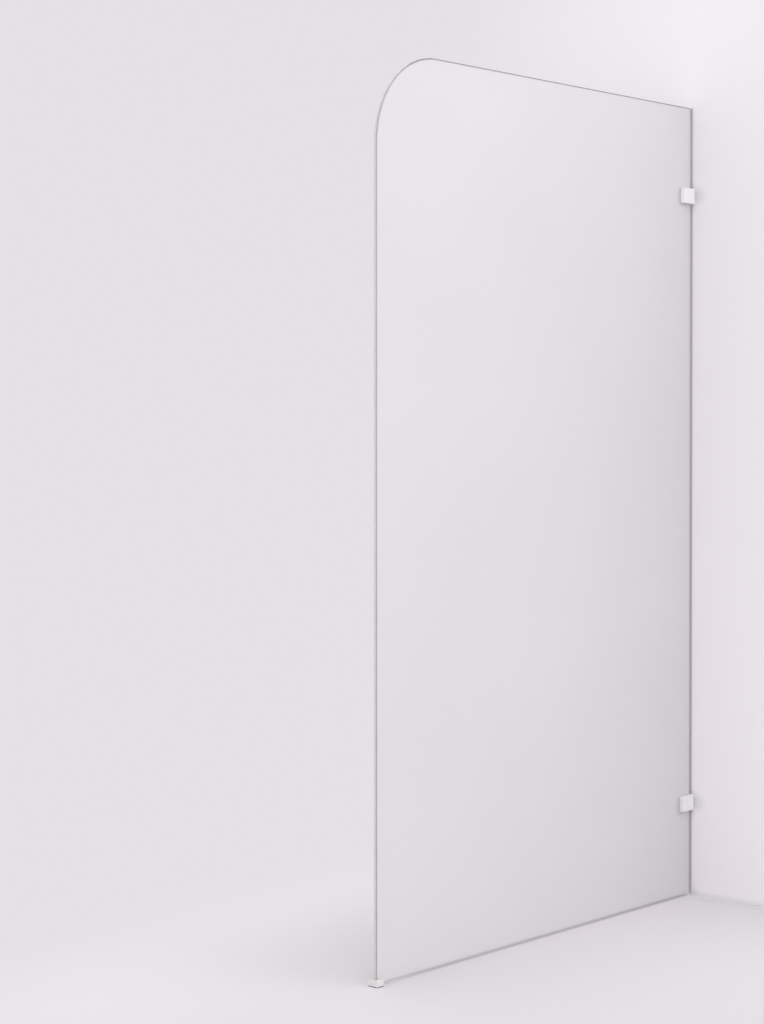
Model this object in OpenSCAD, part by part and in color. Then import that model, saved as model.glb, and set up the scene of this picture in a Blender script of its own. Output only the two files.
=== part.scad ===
// Walk-in shower screen: one satin glass pane held by two wall clamps and one floor clip.
// The wall is at the +X end, the shower is on the +Y side and the floor is at Z = 0.

/* [Pane] */
// Width from the wall to the free edge of the glass
screen_w = 1195; // [600:5:1500]
// Height of the top edge above the floor
screen_h = 2000; // [1900:10:2200]
// Thickness of the toughened glass
glass_t = 8; // [6:1:12]
// Radius of the rounded top corner at the free edge
corner_r = 200; // [50:10:400]
// Width of the polished arris along every edge
arris = 1.5; // [0.5:0.25:2]
// Diameter of the clamp holes in the glass
glass_hole_d = 14; // [12:0.5:16]
// Distance from the wall edge of the glass to the centre of its holes
glass_hole_in = 21; // [18:1:24]

/* [Wall clamps] */
// Distance from the top edge down to the upper clamp's centre
upper_clamp_drop = 224; // [100:1:600]
// Height of the lower clamp's centre above the floor
lower_clamp_z = 237; // [100:1:600]
// Length of a clamp from the wall along the glass
clamp_l = 50; // [40:1:70]
// Height of a clamp
clamp_h = 38; // [36:1:60]
// Thickness of each jaw
jaw_t = 11; // [10:0.5:16]
// Thickness of the foot on the wall
foot_t = 4; // [3.5:0.25:8]
// Thickness of the pad between the glass edge and the foot
edge_pad_t = 1; // [0.5:0.25:3]
// Gap between the foot and the front jaw
jaw_reveal = 0.5; // [0.3:0.1:1]
// How far the foot stays behind the front jaw's face
foot_setback = 1.5; // [0.5:0.25:3]
// Radius of a clamp's soft outer edges
clamp_edge_r = 1.2; // [0.5:0.1:1.6]
// Thickness of the key on the foot that stops the front jaw from turning
key_t = 2; // [1.5:0.25:3]
// Height of that key
key_h = 22; // [10:1:26]
// How far that key reaches into the front jaw
key_reach = 3; // [2:0.25:5]
// Clearance round that key
key_clear = 0.2; // [0.1:0.05:0.3]
// Thickness of the gaskets on both sides of the glass
gasket_t = 1.5; // [1.25:0.25:2.5]
// Depth of the recess in each jaw that holds its gasket
gasket_seat = 0.5; // [0.25:0.25:1]
// How far the gaskets and the edge pad stay inside the outline of their jaws
gasket_inset = 1.5; // [1:0.25:3]
// Clearance round a gasket in its recess
gasket_clear = 0.1; // [0.05:0.05:0.2]

/* [Clamp bolt] */
// Diameter of the clamp bolt
bolt_d = 6; // [5:1:6]
// Diameter of its countersunk head
bolt_head_d = 12; // [11:0.5:12.5]
// How far the head lies below the rear jaw's face
bolt_recess = 0.4; // [0.2:0.1:1]
// Width across the flats of its hexagon socket
bolt_socket = 4; // [3:0.5:4]
// Depth of that socket
bolt_socket_depth = 2.6; // [2:0.1:4]
// Length of the bolt inside the front jaw
bolt_grip = 7; // [5:0.5:8]
// Clearance round the bolt's shank in the jaws and the bush
bolt_clear = 0.2; // [0.1:0.05:0.3]
// Clearance between the bolt's head and its seat
seat_clear = 0.1; // [0.05:0.05:0.2]
// Clearance round the bush in its glass hole
bush_clear = 0.15; // [0.05:0.05:0.3]

/* [Wall and floor screw holes] */
// Diameter of the screw holes
screw_hole_d = 4.5; // [4:0.5:5]
// Diameter of their countersinks
screw_sink_d = 8.4; // [8:0.2:9]
// Distance between the two wall screws of a clamp
wall_screw_gap = 22; // [14:1:24]

/* [Floor clip] */
// Length of the clip along the glass
clip_l = 21; // [19:0.5:40]
// Width of the clip across the glass
clip_w = 27; // [25:0.5:40]
// Height of the clip's body above its pad
clip_h = 14; // [13:0.5:25]
// Thickness of the pad under the clip
floor_pad_t = 1; // [0.5:0.25:2]
// How far that pad stays inside the clip's outline
floor_pad_inset = 1; // [0.5:0.25:2]
// Thickness of the clip's bottom
clip_bottom_t = 4; // [3.5:0.25:6]
// Thickness of the clip's closed end
clip_end_t = 6; // [4:0.25:8]
// Thickness of the block that carries the glass
setting_block_t = 1.5; // [1:0.25:4]
// Thickness of the pad between the free edge and the closed end
end_pad_t = 1; // [0.5:0.25:2]
// Thickness of the metal plate that the grub screws push
pressure_plate_t = 1.5; // [1:0.25:2]
// Radius of the clip's soft outer edges
clip_edge_r = 0.8; // [0.4:0.1:1.5]
// Width of the lead-in chamfer along the top of the channel
channel_chamfer = 0.5; // [0.25:0.25:0.75]
// Thickness of the two gaskets in the clip
clip_gasket_t = 1; // [0.5:0.25:2]
// How far the clip's gaskets stay inside its open end
clip_gasket_inset = 1; // [0.5:0.25:2]
// How far the gaskets stay below the clip's top
clip_gasket_drop = 0.8; // [0.3:0.1:1]

/* [Grub screws] */
// Diameter of the two grub screws
grub_d = 4; // [3:0.5:4]
// Distance between them
grub_gap = 6.5; // [5.5:0.5:7]
// Depth of the grub screws below the clip's face
grub_recess = 0.5; // [0.2:0.1:1]
// Width across the flats of their hexagon sockets
grub_socket = 2; // [1.5:0.5:2]
// Depth of those sockets
grub_socket_depth = 2; // [1.5:0.25:2.5]
// Clearance round the grub screws
grub_clear = 0.1; // [0.05:0.05:0.2]
// Metal left above their holes
grub_cover = 1.2; // [1:0.1:1.5]

/* [Hidden] */
$fn = 48;

// Lets a cutting shape pass the face that it opens
past = 1;

glass_white = [0.90, 0.89, 0.90];
paint_white = [0.95, 0.95, 0.95];
gasket_grey = [0.78, 0.78, 0.80];
nylon_white = [0.92, 0.92, 0.90];
steel = [0.72, 0.73, 0.75];
pad_grey = [0.35, 0.35, 0.37];

// The foot and its pad fill the gap at the wall; pad, bottom and block fill the gap at the floor
wall_gap = foot_t + edge_pad_t;
floor_gap = floor_pad_t + clip_bottom_t + setting_block_t;
clip_overhang = clip_end_t + end_pad_t;

// The object's length is centred on X = 0, from the clip's closed end to the wall
wall_x = (screen_w + clip_overhang) / 2;
free_x = wall_x - screen_w;
glass_wall_x = wall_x - wall_gap;
glass_w = screen_w - wall_gap;
glass_h = screen_h - floor_gap;
corner_x = free_x + corner_r;
corner_z = screen_h - corner_r;
upper_clamp_z = screen_h - upper_clamp_drop;
half_t = glass_t / 2;

// Distances across the glass, from its middle plane
jaw_in = half_t + gasket_t - gasket_seat;
jaw_out = jaw_in + jaw_t;

// The clamp's own frame has X = 0 on the wall and runs to -clamp_l
hole_x = -(wall_gap + glass_hole_in);
front_jaw_l = clamp_l - foot_t - jaw_reveal;
gasket_from = gasket_inset - clamp_l;
gasket_to = -(wall_gap + gasket_inset);
gasket_half_h = clamp_h / 2 - gasket_inset;
bolt_bore_r = bolt_d / 2 + bolt_clear;
bolt_l = 2 * jaw_in + jaw_t + bolt_grip - bolt_recess;
key_y = -(jaw_in + jaw_t / 2);

// The clip's own frame has X = 0 at its closed end and Z = 0 on the floor
channel_front = -(half_t + clip_gasket_t);
channel_rear = half_t + clip_gasket_t + pressure_plate_t;
channel_floor = floor_pad_t + clip_bottom_t;
clip_top = floor_pad_t + clip_h;
clip_grip_l = clip_l - clip_end_t - end_pad_t;
clip_gasket_end = clip_l - clip_gasket_inset;
grip_top = clip_top - clip_gasket_drop;
clip_mid_x = clip_end_t + end_pad_t + clip_grip_l / 2;
grub_z = clip_top - grub_cover - grub_d / 2 - grub_clear;
grub_l = clip_w / 2 - channel_rear - grub_recess;

// Rectangle with round corners
module round_rect(size, r) {
    translate([r, 0]) square([size[0] - 2 * r, size[1]]);
    translate([0, r]) square([size[0], size[1] - 2 * r]);
    for (x = [r, size[0] - r], y = [r, size[1] - r])
        translate([x, y]) circle(r);
}

// Block whose twelve edges are all rounded to the same radius
module soft_block(size, r) {
    intersection() {
        linear_extrude(size[2]) round_rect([size[0], size[1]], r);
        translate([0, size[1], 0]) rotate([90, 0, 0])
            linear_extrude(size[1]) round_rect([size[0], size[2]], r);
        rotate([90, 0, 90]) linear_extrude(size[0]) round_rect([size[1], size[2]], r);
    }
}

// Hexagon rod from the origin along +Z, measured across its flats
module hex_rod(across, length) {
    cylinder(h = length, d = across / cos(30), $fn = 6);
}

// Screw hole along +Z from the plate's back, countersunk at its front face
module sunk_hole(plate_t) {
    sink_depth = (screw_sink_d - screw_hole_d) / 2;
    translate([0, 0, -past]) cylinder(h = plate_t + 2 * past, d = screw_hole_d);
    translate([0, 0, plate_t - sink_depth])
        cylinder(h = sink_depth, d1 = screw_hole_d, d2 = screw_sink_d);
    translate([0, 0, plate_t]) cylinder(h = past, d = screw_sink_d);
}

// Flat pad that stands along the glass, from x0 to x1, between two heights
module strip(x0, x1, y0, thickness, z0, z1) {
    translate([x0, y0, z0]) cube([x1 - x0, thickness, z1 - z0]);
}

// Outline of the pane in its own plane, with the rounded top corner
module pane_outline() {
    translate([free_x, floor_gap]) square([corner_r, glass_h - corner_r]);
    translate([corner_x, floor_gap]) square([glass_w - corner_r, glass_h]);
    translate([corner_x, corner_z]) circle(corner_r, $fn = 180);
}

// Diamond that takes an arris off an edge at its centre
module arris_section() {
    polygon([[arris, 0], [0, arris], [-arris, 0], [0, -arris]]);
}

// Arris cuts along the four straight edges and round the corner, on the side at y
module arris_cuts(y) {
    for (z = [floor_gap, screen_h])
        translate([z == screen_h ? corner_x : free_x - past, y, z]) rotate([0, 90, 0])
            linear_extrude(screen_w) arris_section();
    translate([glass_wall_x, y, 0]) linear_extrude(screen_h + past) arris_section();
    translate([free_x, y, 0]) linear_extrude(corner_z) arris_section();
    translate([corner_x, y, corner_z]) rotate([90, 0, 0])
        rotate_extrude(angle = 90, start = 90, $fn = 180)
            translate([corner_r, 0]) arris_section();
}

// Pane with its rounded corner, arrised edges and two clamp holes
module glass_panel() {
    color(glass_white) difference() {
        translate([0, half_t, 0]) rotate([90, 0, 0]) linear_extrude(glass_t) pane_outline();
        arris_cuts(-half_t);
        arris_cuts(half_t);
        for (z = [upper_clamp_z, lower_clamp_z])
            translate([wall_x + hole_x, 0, z]) glass_hole();
    }
}

// Drilled hole with a light arris at both faces
module glass_hole() {
    rotate([90, 0, 0]) {
        cylinder(h = glass_t + 2 * past, d = glass_hole_d, center = true);
        for (side = [0, 1]) mirror([0, 0, side])
            translate([0, 0, half_t - arris / 2])
                cylinder(h = arris / 2 + past, d1 = glass_hole_d,
                         d2 = glass_hole_d + arris + 2 * past);
    }
}

// Casting with the wall foot, the rear jaw, the key and all its holes
module clamp_body() {
    foot_front = -(jaw_out - foot_setback);
    color(paint_white) difference() {
        union() {
            translate([-clamp_l, jaw_in, -clamp_h / 2])
                soft_block([clamp_l, jaw_t, clamp_h], clamp_edge_r);
            translate([-foot_t, foot_front, -clamp_h / 2])
                soft_block([foot_t, jaw_out - foot_front, clamp_h], clamp_edge_r);
            translate([-foot_t - key_reach, key_y - key_t / 2, -key_h / 2])
                cube([key_reach + foot_t / 2, key_t, key_h]);
        }
        translate([hole_x, 0, 0]) bolt_seat();
        gasket_recess(1);
        for (side = [-1, 1]) translate([0, 0, side * wall_screw_gap / 2])
            rotate([0, -90, 0]) sunk_hole(foot_t);
    }
}

// Shallow recess that keeps a gasket in place; side is -1 in the front jaw and 1 in the rear one
module gasket_recess(side) {
    y0 = side > 0 ? half_t : -(jaw_in + gasket_seat);
    strip(gasket_from - gasket_clear, gasket_to + gasket_clear, y0, gasket_t,
          -gasket_half_h - gasket_clear, gasket_half_h + gasket_clear);
}

// Space for the clamp bolt in the rear jaw: clearance hole, cone and recess
module bolt_seat() {
    head_r = bolt_head_d / 2 + seat_clear;
    cone_h = head_r - bolt_bore_r;
    translate([0, jaw_out, 0]) rotate([90, 0, 0]) {
        translate([0, 0, -past]) cylinder(h = jaw_t + 2 * past, r = bolt_bore_r);
        translate([0, 0, bolt_recess]) cylinder(h = cone_h, r1 = head_r, r2 = bolt_bore_r);
        translate([0, 0, -past]) cylinder(h = bolt_recess + past, r = head_r);
    }
}

// Cover jaw with its slot for the key and its blind bolt hole
module front_jaw() {
    slot_h = key_h + 2 * key_clear;
    slot_t = key_t + 2 * key_clear;
    slot_depth = key_reach - jaw_reveal + key_clear;
    bore_depth = bolt_grip + bolt_clear;
    color(paint_white) difference() {
        translate([-clamp_l, -jaw_out, -clamp_h / 2])
            soft_block([front_jaw_l, jaw_t, clamp_h], clamp_edge_r);
        translate([front_jaw_l - clamp_l - slot_depth, key_y - slot_t / 2, -slot_h / 2])
            cube([slot_depth + past, slot_t, slot_h]);
        translate([hole_x, -jaw_in - bore_depth, 0]) rotate([-90, 0, 0])
            cylinder(h = bore_depth + past, r = bolt_bore_r);
        gasket_recess(-1);
    }
}

// Sheet between a jaw and the glass; side is -1 in front and 1 behind
module clamp_gasket(side) {
    y0 = side > 0 ? half_t : -(half_t + gasket_t);
    color(gasket_grey) difference() {
        strip(gasket_from, gasket_to, y0, gasket_t, -gasket_half_h, gasket_half_h);
        translate([hole_x, y0 - past, 0]) rotate([-90, 0, 0])
            cylinder(h = gasket_t + 2 * past, r = bolt_bore_r);
    }
}

// Sleeve between the bolt and the glass
module glass_bush() {
    color(nylon_white) translate([hole_x, -half_t, 0]) rotate([-90, 0, 0])
        difference() {
            cylinder(h = glass_t, r = glass_hole_d / 2 - bush_clear);
            translate([0, 0, -past]) cylinder(h = glass_t + 2 * past, r = bolt_bore_r);
        }
}

// Countersunk bolt, driven from the shower side
module clamp_bolt() {
    cone_h = (bolt_head_d - bolt_d) / 2;
    tip = bolt_d / 8;
    color(steel) translate([hole_x, jaw_out - bolt_recess, 0]) rotate([90, 0, 0])
        difference() {
            rotate_extrude() polygon([
                [0, 0], [bolt_head_d / 2, 0], [bolt_d / 2, cone_h],
                [bolt_d / 2, bolt_l - tip], [bolt_d / 2 - tip, bolt_l], [0, bolt_l]
            ]);
            translate([0, 0, -past]) hex_rod(bolt_socket, bolt_socket_depth + past);
        }
}

// Pad between the glass edge and the foot, over the heads of the wall screws
module edge_pad() {
    color(nylon_white)
        strip(-wall_gap, -foot_t, -half_t, glass_t, -gasket_half_h, gasket_half_h);
}

// Puts a clamp piece at the wall, at the height of its clamp
module at_wall(z) {
    translate([wall_x, 0, z]) children();
}

// Channel that takes the bottom corner of the glass, closed at the free end
module floor_clip_body() {
    at_clip() color(paint_white) difference() {
        translate([0, -clip_w / 2, floor_pad_t]) soft_block([clip_l, clip_w, clip_h], clip_edge_r);
        translate([clip_end_t, 0, 0]) rotate([90, 0, 90])
            linear_extrude(clip_l) channel_section();
        translate([clip_mid_x, 0, floor_pad_t]) sunk_hole(clip_bottom_t);
        for (x = grub_places()) translate([x, channel_rear - past, grub_z]) rotate([-90, 0, 0])
            cylinder(h = clip_w, d = grub_d + 2 * grub_clear);
    }
}

// Channel across the glass, with a lead-in chamfer along both lips
module channel_section() {
    lip = clip_top - channel_chamfer;
    polygon([
        [channel_front, channel_floor], [channel_rear, channel_floor], [channel_rear, lip],
        [channel_rear + channel_chamfer + past, clip_top + past],
        [channel_front - channel_chamfer - past, clip_top + past], [channel_front, lip]
    ]);
}

// Places of the two grub screws along the clip
function grub_places() = [clip_mid_x - grub_gap / 2, clip_mid_x + grub_gap / 2];

// Puts a clip piece at the free end of the pane
module at_clip() {
    translate([free_x - clip_overhang, 0, 0]) children();
}

// Block under the glass, over the head of the floor screw
module floor_setting_block() {
    x0 = clip_end_t + end_pad_t;
    at_clip() color(nylon_white)
        strip(x0, clip_l, -half_t, glass_t, channel_floor, channel_floor + setting_block_t);
}

// Pad between the free edge of the glass and the clip's closed end
module floor_end_pad() {
    at_clip() color(nylon_white)
        strip(clip_end_t, clip_end_t + end_pad_t, -half_t, glass_t, channel_floor, grip_top);
}

// Sheet in front of the glass
module floor_front_gasket() {
    at_clip() color(gasket_grey)
        strip(clip_end_t, clip_gasket_end, channel_front, clip_gasket_t, channel_floor, grip_top);
}

// Sheet behind the glass
module floor_rear_gasket() {
    at_clip() color(gasket_grey)
        strip(clip_end_t, clip_gasket_end, half_t, clip_gasket_t, channel_floor, grip_top);
}

// Plate that spreads the push of the grub screws over the rear gasket
module floor_pressure_plate() {
    at_clip() color(steel)
        strip(clip_end_t, clip_gasket_end, half_t + clip_gasket_t, pressure_plate_t,
              channel_floor, grip_top);
}

// Two socket grub screws, driven from the shower side
module floor_grub_screws() {
    tip = grub_d / 8;
    at_clip() color(steel) for (x = grub_places())
        translate([x, channel_rear, grub_z]) rotate([-90, 0, 0]) difference() {
            rotate_extrude() polygon([
                [0, 0], [grub_d / 2 - tip, 0], [grub_d / 2, tip],
                [grub_d / 2, grub_l], [0, grub_l]
            ]);
            translate([0, 0, grub_l - grub_socket_depth])
                hex_rod(grub_socket, grub_socket_depth + past);
        }
}

// Thin pad that seals the clip to the floor, open round the floor screw
module floor_pad() {
    at_clip() color(pad_grey) difference() {
        translate([floor_pad_inset, floor_pad_inset - clip_w / 2, 0])
            cube([clip_l - 2 * floor_pad_inset, clip_w - 2 * floor_pad_inset, floor_pad_t]);
        translate([clip_mid_x, 0, -past]) cylinder(h = floor_pad_t + 2 * past, d = screw_sink_d);
    }
}

// The pieces of the two clamps, each at its own height
module upper_clamp_body() { at_wall(upper_clamp_z) clamp_body(); }
module upper_front_jaw() { at_wall(upper_clamp_z) front_jaw(); }
module upper_front_gasket() { at_wall(upper_clamp_z) clamp_gasket(-1); }
module upper_rear_gasket() { at_wall(upper_clamp_z) clamp_gasket(1); }
module upper_glass_bush() { at_wall(upper_clamp_z) glass_bush(); }
module upper_clamp_bolt() { at_wall(upper_clamp_z) clamp_bolt(); }
module upper_edge_pad() { at_wall(upper_clamp_z) edge_pad(); }
module lower_clamp_body() { at_wall(lower_clamp_z) clamp_body(); }
module lower_front_jaw() { at_wall(lower_clamp_z) front_jaw(); }
module lower_front_gasket() { at_wall(lower_clamp_z) clamp_gasket(-1); }
module lower_rear_gasket() { at_wall(lower_clamp_z) clamp_gasket(1); }
module lower_glass_bush() { at_wall(lower_clamp_z) glass_bush(); }
module lower_clamp_bolt() { at_wall(lower_clamp_z) clamp_bolt(); }
module lower_edge_pad() { at_wall(lower_clamp_z) edge_pad(); }

glass_panel();
upper_clamp_body();
upper_front_jaw();
upper_front_gasket();
upper_rear_gasket();
upper_glass_bush();
upper_clamp_bolt();
upper_edge_pad();
lower_clamp_body();
lower_front_jaw();
lower_front_gasket();
lower_rear_gasket();
lower_glass_bush();
lower_clamp_bolt();
lower_edge_pad();
floor_clip_body();
floor_setting_block();
floor_end_pad();
floor_front_gasket();
floor_rear_gasket();
floor_pressure_plate();
floor_grub_screws();
floor_pad();
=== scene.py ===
"""Walk-in shower screen, dressed for its photograph: a satin glass pane, two wall clamps and a floor clip.

Everything is in metres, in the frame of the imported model: the wall is at the +X end, the shower is on
the +Y side and the floor is at Z = 0. Each sub-assembly is a class that takes its place from the frame,
models its pieces and dresses them in their finishes.
"""

import logging
import math
from dataclasses import dataclass, field, replace
from enum import Enum
from typing import Any, Callable, Iterable, Sequence

import bmesh
import bpy
from mathutils import Matrix, Vector


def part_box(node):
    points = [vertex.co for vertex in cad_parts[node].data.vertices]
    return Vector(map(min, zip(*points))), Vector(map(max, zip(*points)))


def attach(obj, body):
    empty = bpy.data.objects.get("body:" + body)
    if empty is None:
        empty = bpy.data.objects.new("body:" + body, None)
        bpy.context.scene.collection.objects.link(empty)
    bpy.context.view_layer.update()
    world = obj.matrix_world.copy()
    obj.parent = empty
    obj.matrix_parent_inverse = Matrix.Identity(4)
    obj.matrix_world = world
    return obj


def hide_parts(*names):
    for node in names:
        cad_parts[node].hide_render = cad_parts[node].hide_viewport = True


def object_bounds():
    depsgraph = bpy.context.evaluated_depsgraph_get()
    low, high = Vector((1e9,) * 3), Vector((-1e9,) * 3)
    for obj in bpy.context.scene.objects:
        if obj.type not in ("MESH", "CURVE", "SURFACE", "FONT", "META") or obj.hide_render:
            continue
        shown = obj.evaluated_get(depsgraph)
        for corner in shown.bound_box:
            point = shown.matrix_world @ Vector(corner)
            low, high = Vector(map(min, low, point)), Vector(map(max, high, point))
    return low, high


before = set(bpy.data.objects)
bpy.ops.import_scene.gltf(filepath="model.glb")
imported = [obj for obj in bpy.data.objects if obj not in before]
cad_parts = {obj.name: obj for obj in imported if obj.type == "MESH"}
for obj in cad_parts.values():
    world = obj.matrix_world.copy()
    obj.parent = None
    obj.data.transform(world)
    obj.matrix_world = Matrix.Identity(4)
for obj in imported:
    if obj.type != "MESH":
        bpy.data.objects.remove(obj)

LOG = logging.getLogger("shower_screen")
CAD_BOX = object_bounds()
PANE_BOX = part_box("glass_panel")
BODY = "root"
CLAMPS = ("upper", "lower")

MM = 0.001
# How far a cutter runs past the face it cuts, and how near counts as touching
PAST = 1 * MM
NEAR = 1 * MM
WELD = MM / 1000
FULL_TURN = 2 * math.pi
QUARTER_TURN = math.pi / 2
TURN_STEPS = 48
SOFT_STEPS = 2
HEX_SIDES = 6
SMOOTH_ANGLE = math.radians(32)
CORNER_ANGLE = math.radians(20)
PANE_CORNER = 200 * MM

# The numbers of the colour sockets on Blender's Mix node
MIX_A, MIX_B, MIX_RESULT = 6, 7, 2
NODE_SPACING = 200

Colour = tuple[float, float, float]
Point = tuple[float, float, float]
Shape = bmesh.types.BMesh
Socket = bpy.types.NodeSocket

WHITE = (1.0, 1.0, 1.0)
BLACK = (0.0, 0.0, 0.0)
PAPER = (0.78, 0.75, 0.775)


class Slot(Enum):
    """The record's material slots."""

    SATIN_GLASS = "satin_glass"
    WHITE_PAINT = "white_paint"
    CLEAR_GASKET = "clear_gasket"
    NYLON = "nylon"
    STAINLESS = "stainless"
    DARK_RUBBER = "dark_rubber"


class Side(Enum):
    """The two sides of the glass, by the names of their gaskets."""

    FRONT = "front_gasket"
    SHOWER = "rear_gasket"


class PaneFace(Enum):
    """The kinds of face on the pane, by the numbers of their finishes."""

    ETCHED = 0
    EDGE = 1
    ARRIS = 2


class Axis(Enum):
    """Directions that a turned shape, a screw or a hole can point in."""

    X = (1.0, 0.0, 0.0)
    Y = (0.0, 1.0, 0.0)
    MINUS_Y = (0.0, -1.0, 0.0)
    Z = (0.0, 0.0, 1.0)
    MINUS_Z = (0.0, 0.0, -1.0)

    @property
    def turn(self) -> Matrix:
        """The rotation that lays the Z axis along this direction."""
        return Vector(self.value).to_track_quat("Z", "Y").to_matrix().to_4x4()


# Modelling helpers


def block(low: Sequence[float], high: Sequence[float]) -> Shape:
    """Makes a rectangular block to start a piece from.

    Args:
        low: Its lowest corner.
        high: Its highest corner.

    Returns:
        The block as a new bmesh.
    """
    low, high = Vector(low), Vector(high)
    size = high - low
    bm = bmesh.new()
    bmesh.ops.create_cube(bm, size=1)
    bmesh.ops.scale(bm, verts=bm.verts, vec=size)
    bmesh.ops.translate(bm, verts=bm.verts, vec=(low + high) / 2)
    return bm


def prism(outline: Sequence[tuple[float, float]], low: float, high: float) -> Shape:
    """Extrudes a flat outline along Z.

    Args:
        outline: The corners of the outline in X and Y.
        low: The height of its lower end.
        high: The height of its upper end.

    Returns:
        The closed prism as a new bmesh.
    """
    bm = bmesh.new()
    face = bm.faces.new([bm.verts.new((x, y, low)) for x, y in outline])
    swept = bmesh.ops.extrude_face_region(bm, geom=[face])["geom"]
    lid = [v for v in swept if isinstance(v, bmesh.types.BMVert)]
    bmesh.ops.translate(bm, verts=lid, vec=(0, 0, high - low))
    bmesh.ops.recalc_face_normals(bm, faces=bm.faces)
    return bm


def turned(profile: Sequence[tuple[float, float]], origin: Point, axis: Axis,
           steps: int = TURN_STEPS) -> Shape:
    """Spins a profile round an axis, as on a lathe.

    Args:
        profile: Pairs of radius and distance along the axis.
        origin: The point that the distances are measured from.
        axis: The direction of the axis.
        steps: How many steps the full turn takes.

    Returns:
        The turned shape as a new bmesh.
    """
    bm = bmesh.new()
    points = [bm.verts.new((radius, 0, along)) for radius, along in profile]
    pairs = list(zip(points, points[1:]))
    if profile[0][0] > 0 and profile[-1][0] > 0:
        pairs.append((points[-1], points[0]))
    edges = [bm.edges.new(pair) for pair in pairs]
    bmesh.ops.spin(bm, geom=points + edges, cent=(0, 0, 0), axis=(0, 0, 1), dvec=(0, 0, 0),
                   angle=FULL_TURN, steps=steps, use_merge=True, use_duplicate=False)
    bmesh.ops.remove_doubles(bm, verts=bm.verts, dist=WELD)
    bmesh.ops.recalc_face_normals(bm, faces=bm.faces)
    bmesh.ops.transform(bm, matrix=Matrix.Translation(origin) @ axis.turn, verts=bm.verts)
    return bm


def drill(radius: float, depth: float, origin: Point, axis: Axis, sink: float = 0.0) -> Shape:
    """Makes the cutter for a round hole.

    Args:
        radius: The hole's radius.
        depth: How deep the cutter goes.
        origin: The centre of the hole's mouth.
        axis: The direction into the piece.
        sink: How much wider a countersunk mouth is, or 0 for a plain hole.

    Returns:
        The cutter as a new bmesh.
    """
    mouth = [(radius + sink + PAST, -PAST), (radius, sink)] if sink else [(radius, -PAST)]
    return turned([(0, -PAST), *mouth, (radius, depth), (0, depth)], origin, axis)


def round_edges(bm: Shape, radius: float, steps: int,
                wanted: Callable[[bmesh.types.BMEdge], bool] = lambda edge: True) -> None:
    """Rounds or chamfers some edges of a piece.

    Args:
        bm: The piece.
        radius: The radius of the rounding, or the width of the chamfer.
        steps: The segments across it, where 1 gives a chamfer.
        wanted: Says which edges are rounded.
    """
    edges = [edge for edge in bm.edges if wanted(edge)]
    bmesh.ops.bevel(bm, geom=edges, offset=radius, offset_type="OFFSET", segments=steps, profile=0.5,
                    affect="EDGES", material=-1, clamp_overlap=True)


def rounded(node: str, radius: float, steps: int = SOFT_STEPS) -> Shape:
    """Makes the block that fills a node's box, with its edges rounded.

    Args:
        node: The node.
        radius: The radius of the rounding.
        steps: The segments across it.

    Returns:
        The block as a new bmesh.
    """
    bm = block(*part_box(node))
    round_edges(bm, radius, steps)
    return bm


def is_outer(edge: bmesh.types.BMEdge) -> bool:
    """Says whether an edge is a convex corner of its piece."""
    return edge.is_manifold and edge.calc_face_angle_signed() > CORNER_ANGLE


def carve(base: Shape, cut: Iterable[Shape], add: Iterable[Shape] = ()) -> Shape:
    """Adds shapes to a piece and then cuts others out of it, with Boolean modifiers.

    Args:
        base: The piece to work on.
        cut: The shapes that are taken away.
        add: The shapes that are joined to it first.

    Returns:
        The finished shape as a new bmesh.
    """
    body = link("carve_base", base)
    work = [(tool, "UNION") for tool in add] + [(tool, "DIFFERENCE") for tool in cut]
    tools = []
    for number, (shape, operation) in enumerate(work):
        tool = link(f"carve_tool_{number}", shape)
        step = body.modifiers.new(tool.name, "BOOLEAN")
        step.operation = operation
        step.solver = "EXACT"
        step.object = tool
        tools.append(tool)
    graph = bpy.context.evaluated_depsgraph_get()
    carved = bpy.data.meshes.new_from_object(body.evaluated_get(graph))
    result = bmesh.new()
    result.from_mesh(carved)
    bpy.data.meshes.remove(carved)
    for used in [body, *tools]:
        bpy.data.meshes.remove(used.data)
    bmesh.ops.remove_doubles(result, verts=result.verts, dist=WELD)
    bmesh.ops.dissolve_degenerate(result, edges=result.edges, dist=WELD)
    return result


def link(name: str, bm: Shape) -> bpy.types.Object:
    """Turns a bmesh into an object of the scene.

    Args:
        name: The object's name.
        bm: Its shape, which is freed.

    Returns:
        The new object, at the origin.
    """
    mesh = bpy.data.meshes.new(name)
    bm.to_mesh(mesh)
    bm.free()
    piece = bpy.data.objects.new(name, mesh)
    bpy.context.scene.collection.objects.link(piece)
    return piece


# Shader helpers


class Easing(Enum):
    """How a ramp runs between its two ends."""

    PLAIN = "LINEAR"
    SOFT = "SMOOTHSTEP"


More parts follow.
